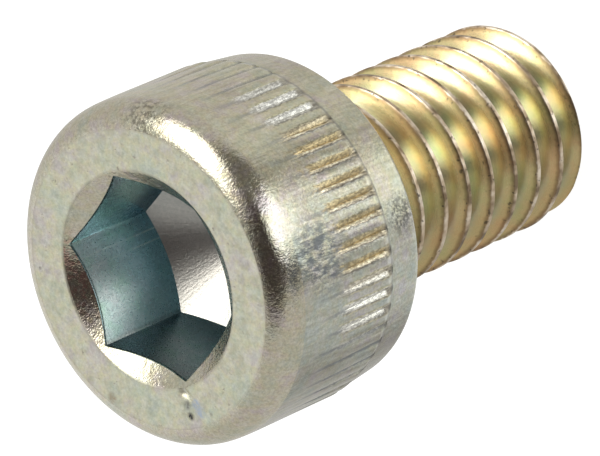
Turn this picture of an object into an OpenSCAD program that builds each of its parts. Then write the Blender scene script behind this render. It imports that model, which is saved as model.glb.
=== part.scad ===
// A socket head cap screw, standing on its thread end with its socket open upwards.
// The origin is the centre of the bearing face under the head: the head is above it, the shank below.

/* [Head] */
// Outside diameter of the head over its knurled side
head_d = 9.84; // [9.6:0.02:10.4]
// Height of the head above its bearing face
head_h = 5.74; // [5.5:0.02:6.4]
// Diameter of the flat front face round the socket
face_d = 8.48; // [8.2:0.02:8.8]
// Radius of the rounded front edge
front_r = 0.95; // [0.75:0.05:1.2]
// Height of the plain band between the knurl and the bearing face
band_h = 1.26; // [0.8:0.02:1.8]
// How much the plain band narrows, on the radius, towards the bearing face
band_taper = 0.13; // [0.05:0.01:0.4]
// How far the knurled side stands out beyond the plain band
side_step = 0.055; // [0.02:0.005:0.1]
// Height over which the knurled side slopes down to the plain band
step_ramp = 0.25; // [0.1:0.05:0.4]
// Width of the bevel round the edge of the bearing face
seat_bevel = 0.07; // [0.05:0.01:0.25]

/* [Knurl] */
// Number of grooves round the head
knurl_count = 54; // [30:1:64]
// Depth of each groove at its deep end, next to the plain band
knurl_depth = 0.12; // [0.05:0.01:0.25]
// Angle between the two sides of a groove
knurl_angle = 116; // [60:2:120]
// Distance from the front face to where the grooves run out
knurl_start = 1; // [0.9:0.05:1.8]
// Turn of the first groove round the head
knurl_turn = 1.5; // [0:0.1:6]

/* [Socket] */
// Width of the hexagonal socket across its flats
socket_af = 5.08; // [4:0.02:5.14]
// Depth of the socket at its six corners
socket_depth = 3.18; // [2.6:0.02:3.6]
// Diameter of the chamfered mouth on the front face
mouth_d = 6.18; // [6.1:0.02:6.6]
// Slope of the mouth chamfer, measured from the front face
mouth_slope = 36; // [25:1:50]
// Slope of the conical floor, measured from the front face
floor_slope = 30; // [10:1:32]
// Radius of the flat middle of the floor
floor_flat_r = 0.8; // [0.4:0.05:1.5]

/* [Shank] */
// Length from the bearing face to the thread end
shank_l = 9.8; // [7:0.1:20]
// Outside diameter of the thread
thread_d = 5.92; // [5.7:0.02:5.98]
// Distance between neighbouring thread crests
pitch = 1; // [0.7:0.05:1]
// Diameter of the smooth neck under the head
neck_d = 5.3; // [5:0.02:5.5]
// Length of the smooth neck under the head
neck_l = 1.1; // [0.8:0.05:1.6]
// Radius of the hollow fillet between the neck and the bearing face
fillet_r = 0.4; // [0.35:0.01:0.5]
// Length over which the thread grows to its full depth below the neck
runout_l = 1; // [0.5:0.1:2]
// Height of the 45-degree chamfer at the thread end
tip_bevel = 0.65; // [0.5:0.05:0.9]
// Turn of the thread round the shank
thread_turn = 107; // [0:1:359]

/* [Wear] */
// Length of the small dent that crosses the rim of the front face
dent_l = 0.95; // [0.4:0.05:1.2]
// Depth of the dent at its deepest
dent_depth = 0.16; // [0.05:0.01:0.3]
// Where the dent lies round the face
dent_turn = 299; // [0:1:359]

/* [Hidden] */
$fn = 96;

// A little more than nothing, for cutters that have to pass a surface
past = 0.05;

head_r = head_d / 2;
face_r = face_d / 2;
neck_r = neck_d / 2;
thread_r = thread_d / 2;
mouth_r = mouth_d / 2;

// The front edge is an arc that meets the side smoothly and passes through the rim of the face
front_centre_x = head_r - front_r;
front_centre_z = head_h - sqrt(pow(front_r, 2) - pow(face_r - front_centre_x, 2));
band_r = head_r - side_step;

// Grooves are cut by a tilted prism whose edge meets the side at the shallow end
groove_rise = head_h - knurl_start - band_h;
groove_tilt = atan(knurl_depth / groove_rise);
groove_reach = norm([groove_rise, knurl_depth]);

socket_corner_r = socket_af / 2 / cos(30);
mouth_depth = mouth_r * tan(mouth_slope);
floor_drop = (socket_corner_r - floor_flat_r) * tan(floor_slope);

// Metric thread form: 60 degrees between flanks, a flat crest and a rounded root
flank_depth = pitch * 5 / 16 / tan(30);
root_depth = pitch * 0.6134;
// Heights and depths of the corners of one thread, from crest to crest, as [height, depth]
thread_form = [
    [0, 0],
    [pitch / 8, 0],
    [pitch * 7 / 16, flank_depth],
    [pitch * 9 / 16, root_depth],
    [pitch * 11 / 16, flank_depth],
];
thread_steps = 48;
// The thread is made too long at the thread end and is then cut to length
thread_overrun = 1.2 * pitch;
// The buried start of the thread sits just inside the neck
neck_skin = 0.06;
thread_top = 1.05 * pitch - neck_l;
thread_turns = ceil((thread_top + shank_l + thread_overrun) / pitch);
tip_r = thread_r - tip_bevel;

// Outline of the head in the radius and height plane
module head_outline() {
    intersection() {
        union() {
            polygon([
                [0, 0],
                [band_r - band_taper - seat_bevel, 0],
                [band_r - band_taper, seat_bevel],
                [band_r, band_h],
                [head_r, band_h + step_ramp],
                [head_r, front_centre_z],
                [0, front_centre_z],
            ]);
            square([front_centre_x, head_h + past]);
            translate([front_centre_x, front_centre_z]) circle(front_r);
        }
        square([head_r + past, head_h]);
    }
}

// Outline of the neck, with the hollow fillet that joins it to the bearing face
module neck_outline() {
    translate([0, -neck_l]) square([neck_r, neck_l + past]);
    difference() {
        translate([0, -fillet_r]) square([neck_r + fillet_r, fillet_r + past]);
        translate([neck_r + fillet_r, -fillet_r]) circle(fillet_r);
    }
}

module head_and_neck() {
    rotate_extrude() {
        head_outline();
        neck_outline();
    }
}

// One V-shaped groove, deepest next to the plain band and running out towards the front
module knurl_groove() {
    half_w = (knurl_depth + past) * tan(knurl_angle / 2);
    translate([head_r - knurl_depth, 0, band_h])
        rotate([0, groove_tilt, 0])
            linear_extrude(height = groove_reach + 2 * past)
                polygon([[0, 0], [knurl_depth + past, half_w], [knurl_depth + past, -half_w]]);
}

module knurl() {
    for (i = [0 : knurl_count - 1])
        rotate(knurl_turn + i * 360 / knurl_count) knurl_groove();
}

// Hexagonal socket with a conical floor and a chamfered mouth
module socket() {
    floor_z = head_h - socket_depth;
    mouth_past = past / tan(mouth_slope);
    intersection() {
        translate([0, 0, floor_z - floor_drop])
            cylinder(r = socket_corner_r, h = socket_depth + floor_drop + past, $fn = 6);
        rotate_extrude()
            polygon([
                [0, floor_z - floor_drop],
                [floor_flat_r, floor_z - floor_drop],
                [socket_corner_r, floor_z],
                [socket_corner_r + past, floor_z],
                [socket_corner_r + past, head_h + past],
                [0, head_h + past],
            ]);
    }
    translate([0, 0, head_h - mouth_depth])
        cylinder(r1 = 0, r2 = mouth_r + mouth_past, h = mouth_depth + past);
}

// Share of the full thread depth at a height, none in the neck and all of it below the run-out
function thread_share(z) = max(0, min(1, (-neck_l - z) / runout_l));

// A corner of the thread: step counts round the helix from below, corner counts along the form
function thread_point(step, corner) =
    let (
        turn = 360 * step / thread_steps,
        low = thread_top - thread_turns * pitch,
        z = low + pitch * step / thread_steps + thread_form[corner][0],
        start_r = neck_r - neck_skin,
        r = start_r + (thread_r - thread_form[corner][1] - start_r) * thread_share(z)
    )
    [r * cos(turn), r * sin(turn), z];

// A right-hand thread as one closed skin: rows of corners climb the helix and meet the row one turn above
module thread_rod() {
    form = len(thread_form);
    steps = (thread_turns - 1) * thread_steps;
    rows = steps + thread_steps + 1;
    low = thread_top - thread_turns * pitch;
    points = concat(
        [for (i = [0 : rows - 1], j = [0 : form - 1]) thread_point(i, j)],
        [[0, 0, low], [0, 0, thread_top]]
    );
    bottom = rows * form;
    top = bottom + 1;
    // The last corner of a row is joined to the first corner of the row one turn further on
    function at(i, j) = j < form ? i * form + j : (i + thread_steps) * form;
    sides = [
        for (i = [0 : steps - 1], j = [0 : form - 1])
            each [
                [at(i, j), at(i, j + 1), at(i + 1, j + 1)],
                [at(i, j), at(i + 1, j + 1), at(i + 1, j)],
            ]
    ];
    lower_end = [
        for (i = [0 : thread_steps - 1]) [bottom, at(i, 0), at(i + 1, 0)],
        for (j = [0 : form - 1]) [bottom, at(0, j + 1), at(0, j)],
    ];
    upper_end = [
        for (i = [steps : steps + thread_steps - 1]) [top, at(i + 1, 0), at(i, 0)],
        for (j = [0 : form - 1]) [top, at(steps, j), at(steps, j + 1)],
    ];
    polyhedron(points = points, faces = concat(sides, lower_end, upper_end), convexity = 10);
}

// Envelope that cuts the thread to length and gives its end a 45-degree chamfer
module shank_envelope() {
    clear = 0.3;
    rotate_extrude()
        polygon([
            [0, -shank_l],
            [tip_r, -shank_l],
            [thread_r + clear, -shank_l + tip_bevel + clear],
            [thread_r + clear, thread_top + pitch],
            [0, thread_top + pitch],
        ]);
}

module shank() {
    intersection() {
        rotate(thread_turn) thread_rod();
        shank_envelope();
    }
}

// A small dent that crosses the face from the mouth chamfer outwards
module dent() {
    rotate(dent_turn)
        translate([mouth_r - past, 0, head_h - dent_depth])
            rotate([0, -atan(dent_depth / dent_l), 0])
                rotate([90, 0, 90])
                    linear_extrude(height = dent_l + past)
                        polygon([[0, 0], [2.2 * dent_depth, 2 * dent_depth], [-1.2 * dent_depth, 2 * dent_depth]]);
}

module cap_screw() {
    color([0.72, 0.7, 0.64])
        difference() {
            union() {
                head_and_neck();
                shank();
            }
            knurl();
            socket();
            dent();
        }
}

cap_screw();
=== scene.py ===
import math

import bpy
import numpy as np
from mathutils import Matrix, Vector


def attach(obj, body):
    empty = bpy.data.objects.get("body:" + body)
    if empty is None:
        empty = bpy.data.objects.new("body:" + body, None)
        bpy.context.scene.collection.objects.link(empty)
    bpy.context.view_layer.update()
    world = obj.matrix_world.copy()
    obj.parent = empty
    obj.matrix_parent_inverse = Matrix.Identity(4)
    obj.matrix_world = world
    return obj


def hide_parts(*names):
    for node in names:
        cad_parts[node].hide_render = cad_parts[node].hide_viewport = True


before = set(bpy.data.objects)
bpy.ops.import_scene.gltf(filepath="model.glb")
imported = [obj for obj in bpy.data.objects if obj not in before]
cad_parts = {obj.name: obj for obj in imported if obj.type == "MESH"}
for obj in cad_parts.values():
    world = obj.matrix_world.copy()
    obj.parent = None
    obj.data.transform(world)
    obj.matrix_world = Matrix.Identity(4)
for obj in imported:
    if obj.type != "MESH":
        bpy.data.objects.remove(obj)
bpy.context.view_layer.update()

# A socket head cap screw that stands on its thread end: one closed skin with seven finishes, a pale floor, a
# camera and a studio of soft boxes.

# Lengths are in millimetres here and become metres where a mesh is made.
MM = 0.001

# Head
HEAD_R = 4.92
HEAD_H = 5.74
FACE_R = 4.24
FRONT_R = 0.95
BAND_H = 1.26
BAND_R = HEAD_R - 0.055
STEP_RAMP = 0.25
BAND_TAPER = 0.13
SEAT_BEVEL = 0.07
# The side draws in along a very large arc before the front edge's own arc takes over.
DRAW_IN_TILT = math.radians(2.2)
DRAW_IN_R = 19.5
FRONT_CENTRE_R = HEAD_R - DRAW_IN_R * (1 - math.cos(DRAW_IN_TILT)) - FRONT_R * math.cos(DRAW_IN_TILT)
FRONT_CENTRE_Z = HEAD_H - math.sqrt(FRONT_R**2 - (FACE_R - FRONT_CENTRE_R) ** 2)
DRAW_IN_END = FRONT_CENTRE_Z + FRONT_R * math.sin(DRAW_IN_TILT)
DRAW_IN_START = DRAW_IN_END - DRAW_IN_R * math.sin(DRAW_IN_TILT)

# Knurl
GROOVES = 54
GROOVE_DEPTH = 0.104
GROOVE_HALF = math.radians(1.75)
GROOVE_TOP = 3.4
FIRST_GROOVE = math.radians(0.45)
LAND_CROWN = 0.004
# At the band the grooves rise again nearly to its level.
GROOVE_END = 0.3
GROOVE_END_DEPTH = 0.062
# Above the grooves the tool left faint lines that reach nearly to the front edge.
LINE_DEPTH = 0.008
LINE_TOP = 4.74
# Columns at a groove, in half widths from its middle. The eighth one is on the land.
GROOVE_COLUMNS = (-1.07, -0.93, -0.12, 0.0, 0.12, 0.93, 1.07)
# However narrow a groove gets, its columns keep this share of their spread.
LEAST_SPREAD = 0.3

# Socket
SOCKET_APOTHEM = 2.54
SOCKET_CORNER_R = SOCKET_APOTHEM / math.cos(math.pi / 6)
CORNER_ROUND = 0.06
EDGE_BREAK = 0.02
SOCKET_DEPTH = 3.18
MOUTH_R = 3.09
MOUTH_SLOPE = math.tan(math.radians(36))
MOUTH_RIM_DROP = 0.01
FLOOR_SLOPE = math.tan(math.radians(30))
FLOOR_FLAT_R = 0.8
FLOOR_LOW = HEAD_H - SOCKET_DEPTH - (SOCKET_CORNER_R - FLOOR_FLAT_R) * FLOOR_SLOPE

# Nick beside the socket: a channel with its start, direction, depth and half width, and a bruise
CHANNEL_START = (1.45, -2.72)
CHANNEL_WAY = (0.849, -0.528)
CHANNEL_DEPTH = 0.045
CHANNEL_HALF = 0.1
CHANNEL_L = 1.1
BRUISE_PLACE = (1.53, -2.86)
BRUISE_SIZE = (0.19, 0.1)
BRUISE_DEPTH = 0.06

# Shank
SHANK_L = 9.8
THREAD_R = 2.96
PITCH = 1.0
NECK_R = 2.65
NECK_L = 1.1
FILLET_R = 0.4
RUNOUT_L = 1.0
TIP_R = 2.31
CREST_Z = -0.285
CREST_HALF = PITCH / 16
ROOT_HALF = PITCH / 8
FLANK_DEPTH = PITCH * 5 / 16 / math.tan(math.pi / 6)
ROOT_DEPTH = PITCH * 0.6134
# The helix rows start a little above the foot of the neck.
HELIX_TOP = -NECK_L + 0.15

HEAD_COLUMNS = 8 * GROOVES
# Three columns of the head meet one of the shank.
COLUMNS_PER_SHANK_COLUMN = 3

# Edges at which the surface turns by more than this are drawn sharp.
SHARP_ANGLE = math.radians(32)


def smooth(a, b, x):
    """Smooth step from 0 at a to 1 at b: t * t * (3 - 2 t) with t the clipped share of the way."""
    t = np.clip((x - a) / (b - a), 0, 1)
    return t * t * (3 - 2 * t)


def level_row(turn, radius, height):
    """A row with one radius and one height at every turn."""
    return turn, np.full_like(turn, radius), np.full_like(turn, height)


def groove_share(height):
    """Share of its full depth and width that a groove has at a height: none at its top, then by the 0.8 power
    of the way down to the band."""
    return min(max((GROOVE_TOP - height) / (GROOVE_TOP - BAND_H), 0), 1) ** 0.8


def knurl_columns(height=HEAD_H):
    """Angles of the columns round the knurled side: eight to a groove, one on the land and the others at the
    groove's middle and close to its two edges, which they follow as the groove narrows."""
    half = GROOVE_HALF * max(groove_share(height), LEAST_SPREAD, smooth(GROOVE_TOP, LINE_TOP, height))
    offsets = np.array([-np.pi / GROOVES] + [half * share for share in GROOVE_COLUMNS])
    middles = FIRST_GROOVE + np.arange(GROOVES) * 2 * np.pi / GROOVES
    return (middles[:, None] + offsets).ravel()


def even_columns():
    """Angles of evenly spaced columns, paired with the knurl's so that the two differ by less than a step."""
    step = 2 * np.pi / HEAD_COLUMNS
    shift = np.round(knurl_columns()[0] / step) * step
    return shift + np.arange(HEAD_COLUMNS) * step


def shank_columns():
    """Angles of the shank's columns: every third of the evenly spaced ones."""
    return even_columns()[::COLUMNS_PER_SHANK_COLUMN]


def socket_radius(turn):
    """Distance from the axis to the wall of a hexagon with rounded corners.
    Flats: apothem / cos(angle from the flat's middle). Corners: the far crossing of a ray with the corner's
    circle."""
    from_flat = np.mod(turn, np.pi / 3) - np.pi / 6
    from_corner = np.pi / 6 - np.abs(from_flat)
    flat = SOCKET_APOTHEM / np.cos(from_flat)
    centre = (SOCKET_APOTHEM - CORNER_ROUND) / math.cos(math.pi / 6)
    inside = np.maximum(CORNER_ROUND**2 - (centre * np.sin(from_corner)) ** 2, 0)
    corner = centre * np.cos(from_corner) + np.sqrt(inside)
    touch = math.atan((SOCKET_APOTHEM - CORNER_ROUND) * math.tan(math.pi / 6) / SOCKET_APOTHEM)
    return np.where(from_corner < math.pi / 6 - touch, corner, flat)


def mouth_height(radius):
    """Height of the mouth's chamfer cone at a radius."""
    return HEAD_H - (MOUTH_R - radius) * MOUTH_SLOPE


def floor_height(radius):
    """Height of the socket's floor: flat in the middle, then a cone that rises to the corners."""
    return FLOOR_LOW + np.maximum(radius - FLOOR_FLAT_R, 0) * FLOOR_SLOPE


def floor_rows():
    """Rows of (turn, radius, height) over the socket's floor, from its middle out to the foot of the walls:
    each is the hexagon shrunk to a share, at the floor's height."""
    turn = even_columns()
    wall_r = socket_radius(turn)
    shares = (0.04, 0.12, 0.2, 0.28, 0.36, 0.45, 0.54, 0.63, 0.72, 0.81, 0.9, 0.96, 0.985, 1.0)
    return [(turn, share * wall_r, floor_height(share * wall_r)) for share in shares]


def wall_rows():
    """Rows up the six walls: shares of the way from the floor to just under the mouth's chamfer cone, and a
    last one on the cone, a little further out, which breaks the edge."""
    turn = even_columns()
    wall_r = socket_radius(turn)
    low = floor_height(wall_r)
    high = mouth_height(wall_r) - 1.5 * EDGE_BREAK
    shares = (
        0.02, 0.05, 0.1, 0.16, 0.24, 0.32, 0.4, 0.48,
        0.56, 0.64, 0.72, 0.8, 0.87, 0.93, 0.97, 0.992, 1.0,
    )
    rows = [(turn, wall_r, low + (high - low) * share) for share in shares]
    return rows + [(turn, wall_r + EDGE_BREAK, mouth_height(wall_r + EDGE_BREAK))]


def mouth_rows():
    """Rows up the mouth's chamfer cone: shares of the way from the broken edge out to the face."""
    turn = even_columns()
    inner = socket_radius(turn) + EDGE_BREAK
    rows = []
    for share in (0.04, 0.2, 0.4, 0.6, 0.8, 0.93):
        radius = inner + (MOUTH_R - inner) * share
        rows.append((turn, radius, mouth_height(radius)))
    return rows


def nick_depth(x, y):
    """Depth of the small nick beside the socket: a bruise at the mouth's edge and a channel that runs out
    from it. Each is a bell curve across; the channel fades by a smooth step along its length."""
    (start_x, start_y), (way_x, way_y) = CHANNEL_START, CHANNEL_WAY
    along = (x - start_x) * way_x + (y - start_y) * way_y
    across = (y - start_y) * way_x - (x - start_x) * way_y
    fading = (1 - smooth(0.1, CHANNEL_L, along)) * smooth(-0.3, 0.0, along)
    channel = CHANNEL_DEPTH * np.exp(-((across / CHANNEL_HALF) ** 2)) * fading
    away_x = (x - BRUISE_PLACE[0]) / BRUISE_SIZE[0]
    away_y = (y - BRUISE_PLACE[1]) / BRUISE_SIZE[1]
    return channel + BRUISE_DEPTH * np.exp(-(away_x**2 + away_y**2))


def face_rows():
    """Rows of the flat ring from mouth to rim, sunk by the nick. The columns drift from even spacing to the
    knurl's. The ring's inner edge lies a hair lower, as a turned edge does."""
    shares = (
        0.0, 0.02, 0.07, 0.13, 0.19, 0.25, 0.31, 0.37, 0.43,
        0.49, 0.55, 0.61, 0.68, 0.75, 0.82, 0.89, 0.95, 1.0,
    )
    rows = []
    for share in shares:
        turn = even_columns() + (knurl_columns() - even_columns()) * share
        radius = np.full_like(turn, MOUTH_R + (FACE_R - MOUTH_R) * share)
        drop = MOUTH_RIM_DROP * (1 - smooth(0.0, 0.02, share))
        rows.append((turn, radius, HEAD_H - drop - nick_depth(radius * np.cos(turn), radius * np.sin(turn))))
    return rows


def front_rows():
    """Rows of the rounded front edge: a circle's arc from the rim of the face down to the side."""
    turn = knurl_columns()
    rim = math.acos((FACE_R - FRONT_CENTRE_R) / FRONT_R)
    rows = []
    for share in (0.02, 0.1, 0.2, 0.3, 0.4, 0.5, 0.6, 0.7, 0.8, 0.9, 1.0):
        a = rim + (DRAW_IN_TILT - rim) * share
        rows.append(
            level_row(turn, FRONT_CENTRE_R + FRONT_R * math.cos(a), FRONT_CENTRE_Z + FRONT_R * math.sin(a))
        )
    return rows


def groove_depth(turn, height):
    """Depth of the knurl under the side: a V whose depth and width grow downwards and whose bottom rises
    again in a straight slope at the band, lands that fall off a little towards its edges by the square of
    the distance, and the faint line above it."""
    half = np.pi / GROOVES
    across = np.abs(np.mod(turn - FIRST_GROOVE + half, 2 * half) - half)
    share = groove_share(height)
    land = LAND_CROWN * share * np.minimum((half - across) / (half - GROOVE_HALF * share), 1) ** 2
    line_share = (1 - smooth(GROOVE_TOP, LINE_TOP, height)) * (1 - share)
    line = LINE_DEPTH * line_share * np.maximum(1 - across / half, 0)
    cut = GROOVE_DEPTH * np.maximum(share - across / GROOVE_HALF, 0)
    rise = min(max((height - BAND_H) / GROOVE_END, 0), 1)
    return land + line + np.minimum(cut, GROOVE_END_DEPTH + (GROOVE_DEPTH - GROOVE_END_DEPTH) * rise)


def side_radius(height):
    """Radius of the side before the knurl is cut: the band's, a short slope out to the head's, and the
    draw-in arc."""
    below = BAND_R + (HEAD_R - BAND_R) * smooth(BAND_H - 0.02, BAND_H + STEP_RAMP, height)
    above = max(height - DRAW_IN_START, 0)
    return below - DRAW_IN_R + math.sqrt(DRAW_IN_R**2 - above**2)


def side_rows():
    """Rows of the knurled side, its slope down to the plain band, the band's taper, its bevel and the bearing
    face. Knurled side: the smaller of the side's outline and the head's radius less the groove's depth."""
    step_top = BAND_H + STEP_RAMP
    heights = [DRAW_IN_END - 0.05, *np.linspace(LINE_TOP, GROOVE_TOP, 8)]
    heights += [*np.linspace(GROOVE_TOP - 0.1, step_top, 14)]
    # Closer rows on the step, the last just above the band
    heights += [1.45, 1.39, 1.33, BAND_H + 0.003]
    rows = []
    for height in heights:
        turn = knurl_columns(height)
        cut = side_radius(max(height, step_top)) - groove_depth(turn, height)
        rows.append((turn, np.minimum(side_radius(height), cut), np.full_like(turn, height)))
    seat_r = BAND_R - BAND_TAPER - SEAT_BEVEL
    outline = [(BAND_R, BAND_H)]
    for share in (0.06, 0.15, 0.3, 0.5, 0.7, 0.85, 0.95):
        outline.append((BAND_R - BAND_TAPER * share, BAND_H + (SEAT_BEVEL - BAND_H) * share))
    # The bevel, rounded a little at both ends
    bevel_top = (seat_r + SEAT_BEVEL - 0.012, SEAT_BEVEL - 0.006)
    outline += [bevel_top, (seat_r + 0.02, 0.012), (seat_r - 0.02, 0.0)]
    for share in (0.15, 0.35, 0.6, 0.85):
        outline.append((seat_r + (NECK_R + FILLET_R - seat_r) * share, 0.0))
    turn = knurl_columns(BAND_H)
    return rows + [level_row(turn, radius, height) for radius, height in outline]


def neck_rows():
    """Rows of the hollow fillet under the head, a quarter of a circle, and of the smooth neck."""
    turn = shank_columns()
    rows = []
    for share in (0.0, 0.2, 0.4, 0.6, 0.8, 1.0):
        a = share * math.pi / 2
        rows.append(
            level_row(turn, NECK_R + FILLET_R - FILLET_R * math.sin(a), -FILLET_R + FILLET_R * math.cos(a))
        )
    return rows + [level_row(turn, NECK_R, -0.7)]


def thread_radius(turn, height):
    """Radius of the shank: from the distance to the nearest crest line along the axis, a flat crest, a
    60-degree flank and a rounded root; fading into the neck over the run-out, and cut by the cone of the end
    chamfer."""
    along = np.mod((height - CREST_Z) / PITCH - turn / (2 * np.pi) + 0.5, 1) - 0.5
    away = np.abs(along) * PITCH
    flank = (away - CREST_HALF) / math.tan(math.pi / 6)
    to_root = np.clip((PITCH / 2 - away) / ROOT_HALF, 0, 1)
    root = FLANK_DEPTH + (ROOT_DEPTH - FLANK_DEPTH) * (1 - to_root**2)
    depth = np.where(away < CREST_HALF, 0, np.where(away < PITCH / 2 - ROOT_HALF, flank, root))
    share = np.clip((-NECK_L - height) / RUNOUT_L, 0, 1)
    radius = NECK_R + (THREAD_R - depth - NECK_R) * share
    return np.minimum(radius, TIP_R + (height + SHANK_L))


def thread_steps():
    """Distances below a crest line, within one pitch, at which the thread's rows lie: close at the crest's
    edges, and the same up from the next crest line."""
    half = [0.0, 0.045, CREST_HALF - 0.006, CREST_HALF + 0.012]
    half += [0.11, 0.17, 0.24, 0.31, 0.37, 0.41, 0.455, 0.5]
    return np.array(half + [PITCH - x for x in half[-2:0:-1]])


def thread_grid(turn):
    """Rows that follow the helix: each column's rows rise with its turn by one pitch a turn.
    Rows beyond the neck or the end lie on the ring there. Returns (radius, height), rows by columns."""
    turns = int(math.ceil((SHANK_L - NECK_L) / PITCH)) + 3
    drop = (np.arange(turns)[:, None] * PITCH + thread_steps()).ravel()
    climb = PITCH * turn / (2 * np.pi)
    height = np.clip(CREST_Z + climb - drop[:, None], -SHANK_L, HELIX_TOP)
    return thread_radius(turn, height), height


def along_rim(points):
    """Which points lie on the rim between the flat face and the rounded front edge."""
    off_rim = np.abs(np.hypot(points[:, 0], points[:, 1]) - FACE_R * MM)
    return (off_rim < 0.001 * MM) & (points[:, 2] > (HEAD_H - 0.002) * MM)


class Skin:
    """Gathers rows of points into one closed mesh: points, three-sided faces, and a finish for each face."""

    def __init__(self):
        self.points = []
        self.count = 0
        self.faces = []
        self.finish = []

    def add(self, x, y, z):
        """Adds points given as flat arrays and returns their numbers."""
        self.points.append(np.stack([x, y, z], 1))
        numbers = np.arange(self.count, self.count + len(x))
        self.count += len(x)
        return numbers

    def on_axis(self, height):
        """Adds one point on the axis and returns its number."""
        return self.add(np.array([0.0]), np.array([0.0]), np.array([height]))[0]

    def ring(self, turn, radius, height):
        """Adds a row of points: x and y are the radius times cosine and sine of the turn."""
        return self.add(radius * np.cos(turn), radius * np.sin(turn), height)

    def strip(self, upper, lower, finish):
        """Joins two rows that close on themselves by four-sided faces, each column to the next."""
        self.quads((upper, lower, np.roll(lower, -1), np.roll(upper, -1)), finish)

    def fan(self, point, row, after, finish):
        """Joins one point to a row and to the row of its neighbours."""
        self.triangles((np.full_like(row, point), row, after), finish)

    def quads(self, corners, finish):
        """Splits each four-sided face in two and drops the halves that have no area left."""
        a, b, c, d = corners
        halves = np.concatenate([np.stack((a, b, c), 1), np.stack((a, c, d), 1)])
        real = (halves != np.roll(halves, 1, axis=1)).all(axis=1)
        self.triangles(halves[real].T, finish)

    def triangles(self, corners, finish):
        """Adds three-sided faces, given as a row of points for each of their corners."""
        self.faces.append(np.stack(corners, 1))
        self.finish.append(np.full(len(corners[0]), finish))

    def mesh(self, name, materials):
        """Makes the mesh of the points in use, smooth apart from its sharp edges and the face's rim."""
        used, corners = np.unique(np.concatenate(self.faces), return_inverse=True)
        points = np.concatenate(self.points)[used] * MM
        data = bpy.data.meshes.new(name)
        data.vertices.add(len(points))
        data.vertices.foreach_set("co", points.ravel())
        data.loops.add(corners.size)
        data.loops.foreach_set("vertex_index", corners.ravel())
        data.polygons.add(corners.size // 3)
        data.polygons.foreach_set("loop_start", np.arange(corners.size // 3) * 3)
        data.update(calc_edges=True)
        for material in materials:
            data.materials.append(material)
        data.polygons.foreach_set("material_index", np.concatenate(self.finish))
        data.polygons.foreach_set("use_smooth", np.ones(len(data.polygons), bool))
        data.set_sharp_from_angle(angle=SHARP_ANGLE)
        sharp = data.attributes["sharp_edge"].data
        flags = np.empty(len(sharp), bool)
        sharp.foreach_get("value", flags)
        ends = np.empty(2 * len(data.edges), np.int32)
        data.edges.foreach_get("vertices", ends)
        sharp.foreach_set("value", flags | along_rim(points)[ends.reshape(-1, 2)].all(axis=1))
        data.validate()
        return data


# Finishes by their place in the mesh's list of materials
FACE, EDGE, SIDE, MOUTH, WALL, FLOOR, THREAD = range(7)


def add_head(skin):
    """Joins the rows of socket, face and side into rings, from the middle of the socket's floor out over the
    head to the bearing face. Returns the last ring."""
    parts = [
        (floor_rows(), FLOOR), (wall_rows(), WALL), (mouth_rows(), MOUTH),
        (face_rows(), FACE), (front_rows(), EDGE), (side_rows(), SIDE),
    ]
    middle = skin.on_axis(FLOOR_LOW)
    previous = None
    for rows, finish in parts:
        for row in rows:
            ring = skin.ring(*row)
            if previous is None:
                skin.fan(middle, ring, np.roll(ring, -1), finish)
            else:
                skin.strip(previous, ring, finish)
            previous = ring
    return previous


def join_to_shank(skin, head_ring, shank_ring):
    """Joins the head's last ring to the shank's first: four triangles to each column of the shank."""
    first, second, third = head_ring.reshape(-1, COLUMNS_PER_SHANK_COLUMN).T
    shank_after = np.roll(shank_ring, -1)
    skin.triangles((first, shank_ring, second), SIDE)
    skin.triangles((second, shank_ring, third), SIDE)
    skin.triangles((third, shank_ring, shank_after), SIDE)
    skin.triangles((third, shank_after, np.roll(first, -1)), SIDE)


def add_thread(skin, neck_ring):
    """Joins the neck to the helix rows and these to each other. Where a row passes the neck's or the end's
    ring it takes that ring's points. Returns the end's ring."""
    turn = shank_columns()
    radius, height = thread_grid(turn)
    x, y = radius * np.cos(turn), radius * np.sin(turn)
    numbers = skin.add(x.ravel(), y.ravel(), height.ravel()).reshape(height.shape)
    top, bottom = height.max(), height.min()
    upper_ring = skin.ring(turn, thread_radius(turn, top), np.full_like(turn, top))
    lower_ring = skin.ring(turn, thread_radius(turn, bottom), np.full_like(turn, bottom))
    numbers = np.where(height >= top, upper_ring, numbers)
    numbers = np.where(height <= bottom, lower_ring, numbers)
    skin.strip(neck_ring, upper_ring, THREAD)
    grid = (numbers[:-1, :-1], numbers[1:, :-1], numbers[1:, 1:], numbers[:-1, 1:])
    skin.quads([corner.ravel() for corner in grid], THREAD)
    # After one turn a row meets the row that started one pitch higher.
    last = numbers[:, -1]
    per_pitch = len(thread_steps())
    onward = np.concatenate([np.full(per_pitch, upper_ring[0]), numbers[:-per_pitch, 0]])
    skin.quads((last[:-1], last[1:], onward[1:], onward[:-1]), THREAD)
    return lower_ring


def add_end(skin, previous):
    """Closes the thread's flat end by rings that shrink to a point on the axis."""
    turn = shank_columns()
    end = skin.on_axis(-SHANK_L)
    for share in (0.97, 0.8, 0.5, 0.2):
        ring = skin.ring(*level_row(turn, TIP_R * share, -SHANK_L))
        skin.strip(previous, ring, THREAD)
        previous = ring
    skin.fan(end, np.roll(previous, -1), previous, THREAD)


def build_screw():
    """One closed skin, from the middle of the socket's floor out over the head and down the thread to its
    end."""
    skin = Skin()
    seat_ring = add_head(skin)
    neck = neck_rows()
    previous = skin.ring(*neck[0])
    join_to_shank(skin, seat_ring, previous)
    for row in neck[1:]:
        ring = skin.ring(*row)
        skin.strip(previous, ring, THREAD)
        previous = ring
    add_end(skin, add_thread(skin, previous))
    return skin


def wire(tree, value, socket):
    """Links an output to a socket, or sets the socket where the value is plain."""
    if isinstance(value, bpy.types.NodeSocket):
        tree.links.new(value, socket)
    elif hasattr(socket.default_value, "__len__") and len(socket.default_value) == 4 and len(value) == 3:
        socket.default_value = (*value, 1)
    else:
        socket.default_value = value


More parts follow.
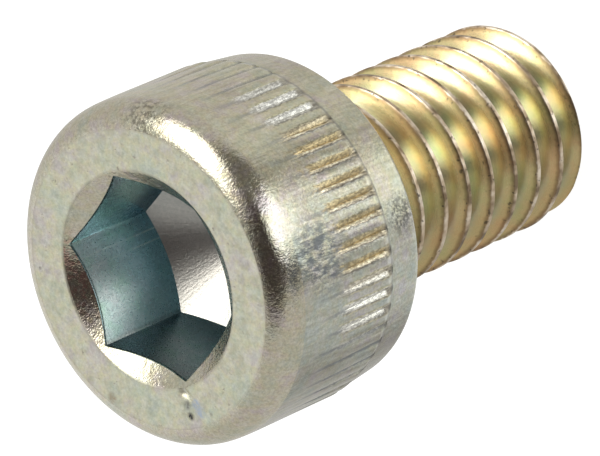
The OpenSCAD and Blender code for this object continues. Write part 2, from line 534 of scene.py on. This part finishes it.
def add_node(tree, kind, settings=None, inputs=None):
    """Adds a node with its settings and inputs."""
    made = tree.nodes.new(kind)
    for name, value in (settings or {}).items():
        setattr(made, name, value)
    for name, value in (inputs or {}).items():
        wire(tree, value, made.inputs[name])
    return made


class Finish:
    """A procedural finish: its node tree and short ways to add to it. Lengths in it are in millimetres."""

    def __init__(self, name):
        self.material = bpy.data.materials.new(name)
        self.material.use_nodes = True
        self.tree = self.material.node_tree
        self.shader = self.tree.nodes["Principled BSDF"]
        self.shader.inputs["Metallic"].default_value = 1.0
        metres = self.node("ShaderNodeTexCoord").outputs["Object"]
        self.place = self.vector("SCALE", metres, Scale=1 / MM)

    def node(self, kind, settings=None, inputs=None):
        """Adds a node to this finish."""
        return add_node(self.tree, kind, settings, inputs)

    def vector(self, operation, first, second=None, **named):
        """A Vector Math node's result, a vector or a number as the operation has it."""
        inputs = {0: first, **named}
        if second is not None:
            inputs[1] = second
        made = self.node("ShaderNodeVectorMath", {"operation": operation}, inputs)
        return made.outputs["Value" if operation in ("LENGTH", "DISTANCE", "DOT_PRODUCT") else "Vector"]

    def number(self, operation, first, second=0.0):
        """A Math node's result."""
        return self.node("ShaderNodeMath", {"operation": operation}, {0: first, 1: second}).outputs["Value"]

    def all_of(self, *shares):
        """Product of several shares."""
        product = shares[0]
        for share in shares[1:]:
            product = self.number("MULTIPLY", product, share)
        return product

    def fade(self, value, low, high, at_low=0.0, at_high=1.0):
        """Smooth step of a value from one number at low to another at high."""
        return self.node(
            "ShaderNodeMapRange",
            {"interpolation_type": "SMOOTHSTEP"},
            {"Value": value, "From Min": low, "From Max": high, "To Min": at_low, "To Max": at_high},
        ).outputs["Result"]

    # Places

    def height(self):
        """Height above the bearing face."""
        return self.node("ShaderNodeSeparateXYZ", {}, {"Vector": self.place}).outputs["Z"]

    def drawn(self, share):
        """The place with its height shrunk to a share, so that a pattern is drawn out along the axis."""
        return self.vector("MULTIPLY", self.place, (1, 1, share))

    def radius(self):
        """Distance from the screw's axis."""
        return self.vector("LENGTH", self.drawn(0))

    def outwards(self):
        """Direction away from the axis."""
        return self.vector("NORMALIZE", self.drawn(0))

    def facing(self, side):
        """How squarely a place faces a side of the screw: 1 on that side, 0 a quarter turn away from it."""
        return self.vector("DOT_PRODUCT", self.outwards(), side)

    def along(self, way):
        """How far a place lies from the axis along a direction."""
        return self.vector("DOT_PRODUCT", self.place, way)

    def near(self, point, inner, outer):
        """1 within a distance of a point, falling smoothly to 0 at a greater one."""
        return self.fade(self.vector("DISTANCE", self.place, point), inner, outer, 1.0, 0.0)

    def across_groove(self):
        """Place across one groove of the knurl and its lands, from 0 to 1 with the groove's middle at 0.5."""
        parts = self.node("ShaderNodeSeparateXYZ", {}, {"Vector": self.place}).outputs
        turn = self.number("ARCTAN2", parts["Y"], parts["X"])
        count = self.number("MULTIPLY", turn, GROOVES / (2 * math.pi))
        return self.number("FRACT", self.number("ADD", count, 0.5 - FIRST_GROOVE * GROOVES / (2 * math.pi)))

    # Patterns

    def noise(self, place, per_mm, detail, roughness):
        """Cloudy noise from 0 to 1 with about so many spots to a millimetre."""
        inputs = {"Vector": place, "Scale": per_mm, "Detail": detail, "Roughness": roughness}
        return self.node("ShaderNodeTexNoise", {}, inputs).outputs["Fac"]

    def grain(self):
        """The fine grain that every finish has."""
        return self.noise(self.place, 13.0, 2.0, 0.7)

    def dimples(self):
        """The soft dimples of thick plating."""
        return self.noise(self.place, 8.0, 3.0, 0.65)

    # Colours

    def ramp(self, value, stops):
        """Colour by value, between (position, colour) stops. A stop's colour may be one number, a grey."""
        made = self.node("ShaderNodeValToRGB", {}, {"Fac": value})
        elements = made.color_ramp.elements
        while len(elements) < len(stops):
            elements.new(1.0)
        for element, (position, colour) in zip(elements, stops):
            element.position = position
            element.color = (*colour, 1) if isinstance(colour, tuple) else (colour, colour, colour, 1)
        return made.outputs["Color"]

    def mix(self, share, first, second, blend="MIX"):
        """One colour laid over another by a share."""
        made = self.node(
            "ShaderNodeMix", {"data_type": "RGBA", "blend_type": blend}, {0: share, 6: first, 7: second}
        )
        return made.outputs[2]

    def tint(self, colour, factor, share=1.0):
        """A colour multiplied by another one, fully or by a share."""
        return self.mix(share, colour, factor, "MULTIPLY")

    def finish(self, colour, roughness, *bumps):
        """Sets colour and roughness, and lays the bumps over each other, each a (height, depth) pair."""
        normal = None
        for height, depth in bumps:
            inputs = {"Height": height, "Strength": 1.0, "Distance": depth * MM}
            if normal is not None:
                inputs["Normal"] = normal
            normal = self.node("ShaderNodeBump", {}, inputs).outputs["Normal"]
        wire(self.tree, colour, self.shader.inputs["Base Color"])
        wire(self.tree, roughness, self.shader.inputs["Roughness"])
        wire(self.tree, normal, self.shader.inputs["Normal"])
        return self.material


def scaled(colour, factor):
    """A plain colour times a number."""
    return tuple(channel * factor for channel in colour)


def zinc_colour(finish, tone, grain_low, grain_high):
    """Zinc plate's colour: a tone that drifts between greenish, cream and lilac in clouds about a millimetre
    wide, with smaller patches inside them and fine grain over all. Returns the colour and the grain."""
    r, g, b = tone
    clouds = finish.noise(finish.place, 1.3, 4.0, 0.65)
    colour = finish.ramp(clouds, [
        (0.34, (r * 0.88, g * 0.97, b * 0.97)),
        (0.44, (r * 0.97, g * 1.0, b * 0.9)),
        (0.53, (r * 1.06, g * 1.02, b * 0.92)),
        (0.64, (r * 1.02, g * 0.95, b * 1.08)),
    ])
    patches = finish.fade(finish.noise(finish.place, 4.5, 3.0, 0.6), 0.35, 0.7, 0.0, 0.6)
    colour = finish.mix(patches, colour, scaled((r * 1.0, g * 1.03, b * 1.1), 1.14))
    grain = finish.grain()
    return finish.tint(colour, finish.ramp(grain, [(0.3, grain_low), (0.7, grain_high)])), grain


def grained(finish, grain, low, high):
    """Roughness between two values that follows the grain."""
    return finish.fade(grain, 0.2, 0.8, low, high)


# Stains on the face: place across the face, size, strength, colour
FACE_STAINS = [
    (1.81, -3.43, 0.11, 1.0, (0.03, 0.03, 0.04)),
    (1.66, -3.15, 0.12, 0.8, (0.12, 0.11, 0.11)),
    (1.4, -2.8, 0.1, 0.6, (0.2, 0.19, 0.18)),
    (1.95, -3.0, 0.15, 0.85, (0.36, 0.43, 0.54)),
    (2.14, -3.2, 0.17, 0.85, (0.38, 0.45, 0.56)),
    (2.53, -3.1, 0.05, 0.7, (0.22, 0.2, 0.18)),
    (3.33, -2.7, 0.05, 0.9, (0.12, 0.1, 0.09)),
    (-1.03, -3.93, 0.16, 0.75, (0.3, 0.22, 0.14)),
    (-3.87, -1.02, 0.05, 0.8, (0.15, 0.13, 0.12)),
]


def face_zinc():
    """The flat front face: matte grey-cream zinc with fine pits, and stains at a few places."""
    finish = Finish("face_zinc")
    colour, grain = zinc_colour(finish, (0.545, 0.54, 0.455), 0.86, 1.1)
    mottle = finish.noise(finish.place, 3.2, 3.0, 0.6)
    mottle = finish.ramp(mottle, [(0.35, (0.86, 0.87, 0.88)), (0.5, 1.0), (0.65, (1.06, 1.05, 0.98))])
    colour = finish.tint(colour, mottle)
    no_pits = finish.fade(finish.noise(finish.place, 5.0, 3.0, 0.7), 0.27, 0.35)
    colour = finish.mix(no_pits, (0.36, 0.33, 0.28), colour)
    ragged = finish.fade(finish.noise(finish.place, 9.0, 2.0, 0.6), 0.3, 0.6, 0.35, 1.0)
    # Brownish line at the two edges of the ring
    outer_line = finish.fade(finish.radius(), FACE_R - 0.08, FACE_R, 0.0, 0.4)
    inner_line = finish.fade(finish.radius(), MOUTH_R + 0.07, MOUTH_R, 0.0, 0.3)
    lines = finish.all_of(finish.number("ADD", outer_line, inner_line), ragged)
    colour = finish.mix(lines, colour, (0.36, 0.31, 0.25))
    for x, y, size, strength, tone in FACE_STAINS:
        stain = finish.near((x, y, HEAD_H), 0.35 * size, 1.5 * size)
        colour = finish.mix(finish.all_of(stain, ragged, strength), colour, tone)
    return finish.finish(colour, grained(finish, grain, 0.3, 0.42), (grain, 0.0045), (no_pits, 0.006))


# Places of the dark specks on the front edge and on the band
EDGE_SPECKS = (-0.55, 4.55, 5.53)
BAND_SPECKS = (4.42, 1.88, 0.55)


def edge_zinc():
    """The rounded front edge: brighter zinc with sparkling grain and dark specks at one place."""
    finish = Finish("edge_zinc")
    colour, grain = zinc_colour(finish, (0.55, 0.525, 0.44), 0.8, 1.12)
    specks = finish.fade(finish.noise(finish.place, 7.0, 4.0, 0.7), 0.54, 0.42)
    specks = finish.all_of(specks, finish.near(EDGE_SPECKS, 0.25, 1.0), 0.7)
    colour = finish.mix(specks, colour, (0.14, 0.13, 0.1))
    sparkle = finish.noise(finish.place, 24.0, 1.0, 0.6)
    bumps = (finish.dimples(), 0.008), (grain, 0.006), (sparkle, 0.003)
    return finish.finish(colour, grained(finish, grain, 0.13, 0.2), *bumps)


# Sides of the head, as directions from the axis
GOLDEN_SIDE = (0.81, 0.59, 0)
BEIGE_SIDE = (-0.17, 0.98, 0)
# The side painted darker, as painted shade
SHADED_SIDE = (0.77, -0.64, 0)
# Place where the head has been gripped
GRIPPED = (4.6, 1.8, 4.0)

# Colours across one groove of the knurl and its lands. On the golden side the gold is the plating's, with a
# dark painted shade line at one edge and a cream painted highlight beside the bottom; further round, the pale
# middle is a painted highlight.
GOLDEN_GROOVE_WITH_PAINTED_LIGHT = [
    (0.24, (0.5, 0.5, 0.45)),
    # Painted shade at the groove's edge, then a cream painted highlight
    (0.29, (0.28, 0.25, 0.2)),
    (0.36, (0.95, 0.86, 0.66)),
    (0.43, (0.88, 0.77, 0.53)),
    (0.5, (0.6, 0.48, 0.27)),
    (0.72, (0.53, 0.45, 0.27)),
    (0.84, (0.5, 0.5, 0.4)),
]
PALE_GROOVE_WITH_PAINTED_HIGHLIGHT = [
    (0.2, (0.56, 0.52, 0.36)),
    (0.28, (0.42, 0.41, 0.36)),
    # Painted highlight in the groove's middle
    (0.4, (0.84, 0.84, 0.79)),
    (0.7, (0.84, 0.84, 0.79)),
    (0.8, (0.56, 0.54, 0.36)),
]


def colour_grooves(finish, colour):
    """Colours the knurl's grooves golden on one side and pale further round it, both with painted highlight
    and shade in them, paints shade as a dark line along the bottom of every groove, and darkens their ends."""
    lengthwise = finish.drawn(0.5)
    ragged = finish.number("SUBTRACT", finish.noise(lengthwise, 10.0, 2.0, 0.6), 0.5)
    across = finish.number("ADD", finish.across_groove(), finish.all_of(ragged, 0.2))
    height = finish.number("ADD", finish.height(), finish.all_of(ragged, 1.2))
    above_band = finish.fade(finish.height(), BAND_H, BAND_H + 0.04)
    # The painted shade line along each groove's bottom goes on above the grooves and is darker on the shaded
    # side.
    line = finish.all_of(
        finish.fade(across, 0.34, 0.46),
        finish.fade(across, 0.66, 0.54),
        finish.fade(height, 4.7, 3.2),
        above_band,
        finish.fade(finish.facing(SHADED_SIDE), 0.6, 0.9, 0.5, 0.85),
    )
    colour = finish.mix(line, colour, (0.25, 0.27, 0.29))
    # Groove colours with painted highlight and painted shade laid in
    pale, golden = finish.ramp(across, PALE_GROOVE_WITH_PAINTED_HIGHLIGHT), finish.ramp(across, GOLDEN_GROOVE_WITH_PAINTED_LIGHT)
    groove = finish.mix(finish.fade(finish.facing(GOLDEN_SIDE), 0.85, 0.93), pale, golden)
    flecks = finish.fade(finish.noise(lengthwise, 17.0, 1.0, 0.6), 0.42, 0.6, 0.72, 1.2)
    groove = finish.tint(groove, flecks)
    # Painted shade: the grooves darken towards their ends at the band.
    painted_shade_at_ends = finish.fade(finish.height(), BAND_H + 0.36, BAND_H + 0.14, 0.0, 0.7)
    groove = finish.mix(painted_shade_at_ends, groove, (0.3, 0.27, 0.2))
    in_groove = finish.all_of(
        finish.fade(finish.facing(GOLDEN_SIDE), 0.6, 0.75),
        finish.fade(height, 3.6, 3.0),
        above_band,
        finish.fade(across, 0.14, 0.24),
        finish.fade(across, 0.88, 0.78),
    )
    return finish.mix(in_groove, colour, groove)


def side_zinc():
    """The knurled side and the plain band: zinc drawn out in fine streaks along the axis. In the grooves it
    has stayed golden, with a pale painted highlight beside the bottom and a dark painted shade line at the
    edge below."""
    finish = Finish("side_zinc")
    colour, grain = zinc_colour(finish, (0.54, 0.535, 0.47), 0.82, 1.1)
    # Beige on one side, bluer on the other
    beige = finish.fade(finish.facing(BEIGE_SIDE), -0.3, 0.8)
    colour = finish.tint(colour, finish.mix(beige, (0.97, 1.0, 1.05), (1.07, 1.03, 0.94)))
    colour = colour_grooves(finish, colour)
    # Painted shade: darker on one side of the head
    painted_shade = finish.fade(finish.facing(SHADED_SIDE), 0.75, 0.97, 0.0, 0.7)
    colour = finish.tint(colour, (0.8, 0.79, 0.77), painted_shade)
    # Painted shade as a dark line in the corner of the step, and duller metal on the band below it
    above_corner = finish.fade(finish.height(), BAND_H - 0.05, BAND_H)
    below_corner = finish.fade(finish.height(), BAND_H + 0.11, BAND_H + 0.04)
    colour = finish.mix(finish.all_of(above_corner, below_corner, 0.5), colour, (0.2, 0.2, 0.19))
    on_band = finish.fade(finish.height(), BAND_H + 0.04, BAND_H - 0.04, 0.0, 0.5)
    colour = finish.tint(colour, (0.8, 0.8, 0.8), on_band)
    specks = finish.fade(finish.noise(finish.place, 8.0, 4.0, 0.7), 0.58, 0.42)
    specks = finish.all_of(specks, finish.near(BAND_SPECKS, 0.25, 0.8), 0.85)
    colour = finish.mix(specks, colour, (0.12, 0.12, 0.11))
    scuffs = finish.noise(finish.drawn(0.4), 5.5, 4.0, 0.7)
    gripped = finish.near(GRIPPED, 0.4, 1.5)
    marks = finish.all_of(finish.fade(scuffs, 0.6, 0.42), gripped, 0.8)
    colour = finish.mix(marks, colour, (0.11, 0.13, 0.16))
    streaks = finish.noise(finish.drawn(0.12), 9.0, 3.0, 0.6)
    colour = finish.tint(colour, finish.ramp(streaks, [(0.3, 0.84), (0.7, 1.12)]))
    dents = finish.all_of(scuffs, gripped)
    band_dimples = finish.all_of(finish.dimples(), finish.fade(finish.height(), BAND_H + 0.04, BAND_H - 0.16))
    bumps = (dents, 0.05), (band_dimples, 0.009), (grain, 0.004), (streaks, 0.005)
    return finish.finish(colour, grained(finish, grain, 0.16, 0.26), *bumps)


# Middle of the rusty mottles on the mouth's chamfer
RUSTY = (-2.8, -0.9, 5.6)


def mouth_zinc():
    """The socket's mouth chamfer: turned zinc, speckled, with rusty brown mottles on one side."""
    finish = Finish("mouth_zinc")
    colour, grain = zinc_colour(finish, (0.55, 0.53, 0.44), 0.8, 1.12)
    mottles = finish.noise(finish.place, 5.0, 3.0, 0.65)
    rusty = finish.all_of(finish.near(RUSTY, 0.6, 1.6), finish.fade(mottles, 0.42, 0.58), 0.7)
    colour = finish.mix(rusty, colour, (0.62, 0.4, 0.34))
    sparkle = finish.noise(finish.place, 20.0, 1.0, 0.6)
    bumps = (mottles, 0.014), (grain, 0.006), (sparkle, 0.004)
    return finish.finish(colour, grained(finish, grain, 0.14, 0.22), *bumps)


# Walls of the socket, as directions from the axis
# The wall painted darker, as painted shade
SHADED_WALL = (0, -1, 0)
SCRATCHED_WALL = (-0.866, -0.5, 0)
# Direction along the scratched wall, and places of its long scratches from its middle
SCRATCHED_WALL_WAY = (-0.5, 0.866, 0)
SCRATCHES = (0.66, 0.97)
# Middles of a deep corner with painted shade and of a greenish painted highlight near the mouth
SHADED_CORNER = (-2.65, 0.5, 2.7)
GREENISH_HIGHLIGHT = (-2.15, 1.35, 4.4)


def on_wall(finish, wall):
    """1 on one wall of the socket, 0 on the others, by how far a place lies towards that wall."""
    return finish.fade(finish.along(wall), SOCKET_APOTHEM - 0.14, SOCKET_APOTHEM - 0.04)


def socket_wall():
    """The socket's six walls: thin bluish-green plating with scratches along the axis, painted shade low down,
    on one wall and in one corner, and a greenish painted highlight near the mouth.
    """
    finish = Finish("socket_wall")
    clouds = finish.noise(finish.place, 1.6, 3.0, 0.6)
    colour = finish.ramp(clouds, [
        (0.3, (0.48, 0.7, 0.67)),
        (0.5, (0.54, 0.7, 0.75)),
        (0.7, (0.61, 0.71, 0.78)),
    ])
    scratches = finish.noise(finish.drawn(0.05), 16.0, 3.0, 0.75)
    colour = finish.tint(colour, finish.ramp(scratches, [(0.3, 0.95), (0.62, 1.02), (0.7, 1.14)]))
    # Painted shade: darker low in the socket, on one wall and deep in one corner
    colour = finish.mix(finish.fade(finish.height(), 4.2, 2.3, 0.0, 0.8), colour, (0.18, 0.34, 0.42))
    colour = finish.tint(colour, (0.72, 0.68, 0.67), on_wall(finish, SHADED_WALL))
    shaded_corner = finish.all_of(finish.near(SHADED_CORNER, 0.25, 1.15), 0.65)
    colour = finish.mix(shaded_corner, colour, (0.09, 0.19, 0.27))
    # Painted highlight: a brighter greenish patch near the mouth
    colour = finish.mix(finish.all_of(finish.near(GREENISH_HIGHLIGHT, 0.5, 1.4), 0.7), colour, (0.7, 0.95, 0.85))
    # Dark line along the edge at the mouth
    mouth = finish.number("ADD", finish.all_of(finish.radius(), MOUTH_SLOPE), HEAD_H - MOUTH_R * MOUTH_SLOPE)
    edge = finish.fade(finish.number("SUBTRACT", mouth, finish.height()), 0.02, 0.09, 0.7, 0.0)
    colour = finish.mix(edge, colour, (0.13, 0.17, 0.14))
    # The long scratches are broken along their length.
    broken = finish.fade(finish.noise(finish.place, 2.2, 2.0, 0.6), 0.4, 0.6, 0.1, 0.5)
    for offset in SCRATCHES:
        away = finish.number("ABSOLUTE", finish.number("SUBTRACT", finish.along(SCRATCHED_WALL_WAY), offset))
        scratch = finish.all_of(finish.fade(away, 0.035, 0.01), on_wall(finish, SCRATCHED_WALL), broken)
        colour = finish.mix(scratch, colour, (0.8, 0.88, 0.88))
    grain = finish.grain()
    return finish.finish(colour, grained(finish, grain, 0.22, 0.3), (scratches, 0.0006), (grain, 0.0007))


def socket_floor():
    """The conical floor: bare bright metal, with fine lines that run in to the middle."""
    finish = Finish("socket_floor")
    grain = finish.grain()
    colour = finish.ramp(grain, [(0.3, (0.52, 0.52, 0.49)), (0.7, (0.64, 0.62, 0.59))])
    lines = finish.noise(finish.outwards(), 30.0, 3.0, 0.7)
    colour = finish.tint(colour, finish.ramp(lines, [(0.3, 0.93), (0.7, 1.05)]))
    return finish.finish(colour, 0.3, (lines, 0.003), (grain, 0.006))


# Side of the shank that has painted shade, as a direction from the axis
SHADED_SHANK_SIDE = (0.5, -0.87, 0)


def gold_thread():
    """The neck and thread: golden passivated zinc whose tint follows the depth under the crests, from pinkish
    brown on the crests over a dark line and gold to pale green in the roots."""
    finish = Finish("gold_thread")
    ragged = finish.noise(finish.place, 6.0, 3.0, 0.6)
    under = finish.all_of(finish.number("SUBTRACT", THREAD_R, finish.radius()), 1 / ROOT_DEPTH)
    under = finish.number("ADD", under, finish.all_of(finish.number("SUBTRACT", ragged, 0.5), 0.16))
    colour = finish.ramp(under, [
        (0.04, (0.36, 0.26, 0.16)),
        (0.11, (0.52, 0.4, 0.22)),
        (0.22, (0.86, 0.7, 0.39)),
        (0.42, (0.82, 0.72, 0.42)),
        (0.62, (0.74, 0.72, 0.52)),
        (0.9, (0.65, 0.67, 0.6)),
    ])
    tints = finish.ramp(finish.noise(finish.place, 0.9, 4.0, 0.65), [
        (0.33, (0.88, 1.0, 0.88)),
        (0.45, (0.97, 1.0, 0.95)),
        (0.55, (1.03, 0.98, 0.93)),
        (0.67, (1.05, 0.91, 0.88)),
    ])
    colour = finish.tint(colour, tints)
    # The crests are worn pale in some places and dark in others.
    crests = finish.ramp(finish.noise(finish.place, 1.7, 2.0, 0.6), [
        (0.38, (0.26, 0.19, 0.12)),
        (0.5, (0.62, 0.5, 0.36)),
        (0.64, (0.92, 0.82, 0.68)),
    ])
    colour = finish.mix(finish.fade(under, 0.07, 0.0), colour, crests)
    grain = finish.grain()
    colour = finish.tint(colour, finish.ramp(grain, [(0.3, 0.96), (0.7, 1.03)]))
    specks = finish.fade(finish.noise(finish.place, 7.0, 2.0, 0.6), 0.38, 0.32)
    specks = finish.all_of(specks, finish.fade(under, 0.3, 0.1), 0.8)
    colour = finish.mix(specks, colour, (0.12, 0.1, 0.07))
    # Painted shade: darker and browner on one side of the shank, least so on the crests
    painted_shade = finish.fade(finish.along(SHADED_SHANK_SIDE), 0.3, 2.2)
    painted_shade = finish.all_of(painted_shade, finish.fade(under, 0.0, 0.1, 0.4, 1.0))
    colour = finish.tint(colour, scaled((1.0, 0.94, 0.87), 0.6), painted_shade)
    # Duller near the crests
    rough = finish.number("ADD", finish.fade(under, 0.1, 0.45, 0.32, 0.22), finish.all_of(grain, 0.04))
    return finish.finish(colour, rough, (ragged, 0.002))


finishes = [face_zinc(), edge_zinc(), side_zinc(), mouth_zinc(), socket_wall(), socket_floor(), gold_thread()]
screw = bpy.data.objects.new("screw_body", build_screw().mesh("screw_body", finishes))
bpy.context.scene.collection.objects.link(screw)
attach(screw, "root")
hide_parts("cap_screw")

# Floor: half its width in metres, and how much it glows
FLOOR_HALF = 2.0
FLOOR_GLOW = 0.92


def pale_floor():
    """The floor's finish: matte grey that also glows white."""
    material = bpy.data.materials.new("pale_floor")
    material.use_nodes = True
    shader = material.node_tree.nodes["Principled BSDF"]
    shader.inputs["Base Color"].default_value = (0.3, 0.3, 0.3, 1)
    shader.inputs["Roughness"].default_value = 1.0
    shader.inputs["Specular IOR Level"].default_value = 0.0
    shader.inputs["Emission Color"].default_value = (1, 1, 1, 1)
    shader.inputs["Emission Strength"].default_value = FLOOR_GLOW
    return material


def floor_square():
    """A square centred under the screw, in metres, at the height of the thread's end."""
    signs = [(-1, -1), (1, -1), (1, 1), (-1, 1)]
    corners = [(FLOOR_HALF * x, FLOOR_HALF * y, -SHANK_L * MM) for x, y in signs]
    data = bpy.data.meshes.new("floor")
    data.from_pydata(corners, [], [(0, 1, 2, 3)])
    data.materials.append(pale_floor())
    return data


floor = bpy.data.objects.new("floor", floor_square())
bpy.context.scene.collection.objects.link(floor)
# The studio's dome stands for the light that a pale floor throws back, so the floor itself only shows.
floor.visible_glossy = False
floor.visible_diffuse = False
floor.visible_shadow = False

# Camera: its place in millimetres, and its directions back, up and right
CAMERA_PLACE = Vector((116.344, 85.488, 139.375))
BACK = Vector((0.5781, 0.4271, 0.6953)).normalized()
UP = BACK.cross(Vector((0.7513, 0.0538, -0.6577)).normalized()).normalized()
RIGHT = UP.cross(BACK).normalized()

camera_data = bpy.data.cameras.new("camera")
camera_data.sensor_fit = "HORIZONTAL"
camera_data.sensor_width = 36
camera_data.lens = 439.05
camera_data.clip_start = 0.01
camera_data.clip_end = 10
camera = bpy.data.objects.new("camera", camera_data)
camera.matrix_world = Matrix.Translation(CAMERA_PLACE * MM) @ Matrix((RIGHT, UP, BACK)).transposed().to_4x4()
bpy.context.scene.collection.objects.link(camera)
bpy.context.scene.camera = camera

# Light: the colour of a pale dome all round the screw
DOME = (0.68, 0.665, 0.64)
# Panels on the dome, white soft boxes and a dark side where the camera stands, each laid over the ones before:
# name, corners in degrees right and up of the camera's side, softness, colour
STUDIO = [
    ("left_glow", [(-150, -95), (-150, 5), (-75, 20), (-45, -60)], 0.25, (0.95, 0.95, 0.93)),
    (
        "floor_glow",
        [(104, 50), (107, 15), (108, -20), (107, -60), (150, -60), (150, 50)],
        0.12,
        (0.95, 0.95, 0.93),
    ),
    ("low_shade", [(93, -78), (114, -72), (124, -112), (98, -124)], 0.15, (0.3, 0.28, 0.25)),
    ("high_glow", [(30, 78), (72, 78), (75, 120), (30, 120)], 0.15, (0.82, 0.81, 0.78)),
    ("band_glow", [(80, 60), (102, 62), (112, 16), (89, 14)], 0.06, (1.6, 1.6, 1.5)),
    ("band_shade", [(100, 15), (110, 12), (114, -8), (102, -6)], 0.06, (0.78, 0.78, 0.77)),
    ("gap", [(-16, 8), (-14, 50), (30, 74), (68, 66), (18, 4)], 0.12, (0.2, 0.19, 0.17)),
    (
        "camera_side",
        [(-46, -16), (0, 17), (14, 11), (50, -8), (50, -28), (0, -44), (-42, -54)],
        0.08,
        (0.072, 0.06, 0.058),
    ),
    ("camera_arm", [(40, -4), (90, 10), (93, -8), (60, -22), (40, -28)], 0.07, (0.07, 0.08, 0.11)),
    (
        "tall_box",
        [(-67, 14), (-44, 63), (-25, 63), (-15, 46), (-23, 27), (-45, -4)],
        0.05,
        (4.2, 4.05, 3.75),
    ),
    ("wide_box", [(15, -1), (18, 17), (62, 53), (75, 44), (83, 15), (45, -1)], 0.04, (2.3, 2.35, 2.4)),
    ("box_corner", [(46, 0), (52, 14), (64, 26), (76, 26), (80, 15)], 0.06, (1.5, 1.53, 1.55)),
]


def towards(right, up):
    """Direction that lies so many degrees right and up of the camera's side, as on a map centred there."""
    away = math.hypot(right, up)
    reach = math.sin(math.radians(away)) / away
    return (RIGHT * right + UP * up) * reach + BACK * math.cos(math.radians(away))


def panel(tree, direction, corners, soft):
    """Share of a panel seen in a direction: 1 inside the corners, falling smoothly to 0 across the edges.
    Each edge is the plane through the dome's centre and two neighbouring corners."""
    points = [towards(*corner) for corner in corners]
    middle = sum(points, Vector())
    share = None
    for first, second in zip(points, points[1:] + points[:1]):
        inward = first.cross(second).normalized()
        if inward.dot(middle) < 0:
            inward.negate()
        along = add_node(
            tree, "ShaderNodeVectorMath", {"operation": "DOT_PRODUCT"}, {0: direction, 1: inward}
        ).outputs["Value"]
        edge = add_node(
            tree,
            "ShaderNodeMapRange",
            {"interpolation_type": "SMOOTHSTEP"},
            {"Value": along, "From Min": -soft, "From Max": soft},
        ).outputs["Result"]
        if share is None:
            share = edge
        else:
            both = add_node(tree, "ShaderNodeMath", {"operation": "MULTIPLY"}, {0: share, 1: edge})
            share = both.outputs["Value"]
    return share


def studio():
    """The studio as one dome, each panel's colour laid over it in turn. The camera sees plain white."""
    world = bpy.data.worlds.new("studio")
    world.use_nodes = True
    tree = world.node_tree
    direction = add_node(tree, "ShaderNodeTexCoord").outputs["Generated"]
    colour = DOME
    for name, corners, soft, shade in STUDIO:
        share = panel(tree, direction, corners, soft)
        settings = {"data_type": "RGBA", "label": name}
        colour = add_node(tree, "ShaderNodeMix", settings, {0: share, 6: colour, 7: shade}).outputs[2]
    seen = add_node(tree, "ShaderNodeLightPath").outputs["Is Camera Ray"]
    shown = add_node(tree, "ShaderNodeMix", {"data_type": "RGBA"}, {0: seen, 6: colour, 7: (1, 1, 1)})
    wire(tree, shown.outputs[2], tree.nodes["Background"].inputs["Color"])
    bpy.context.scene.world = world


studio()

bpy.context.scene.view_settings.view_transform = "Standard"
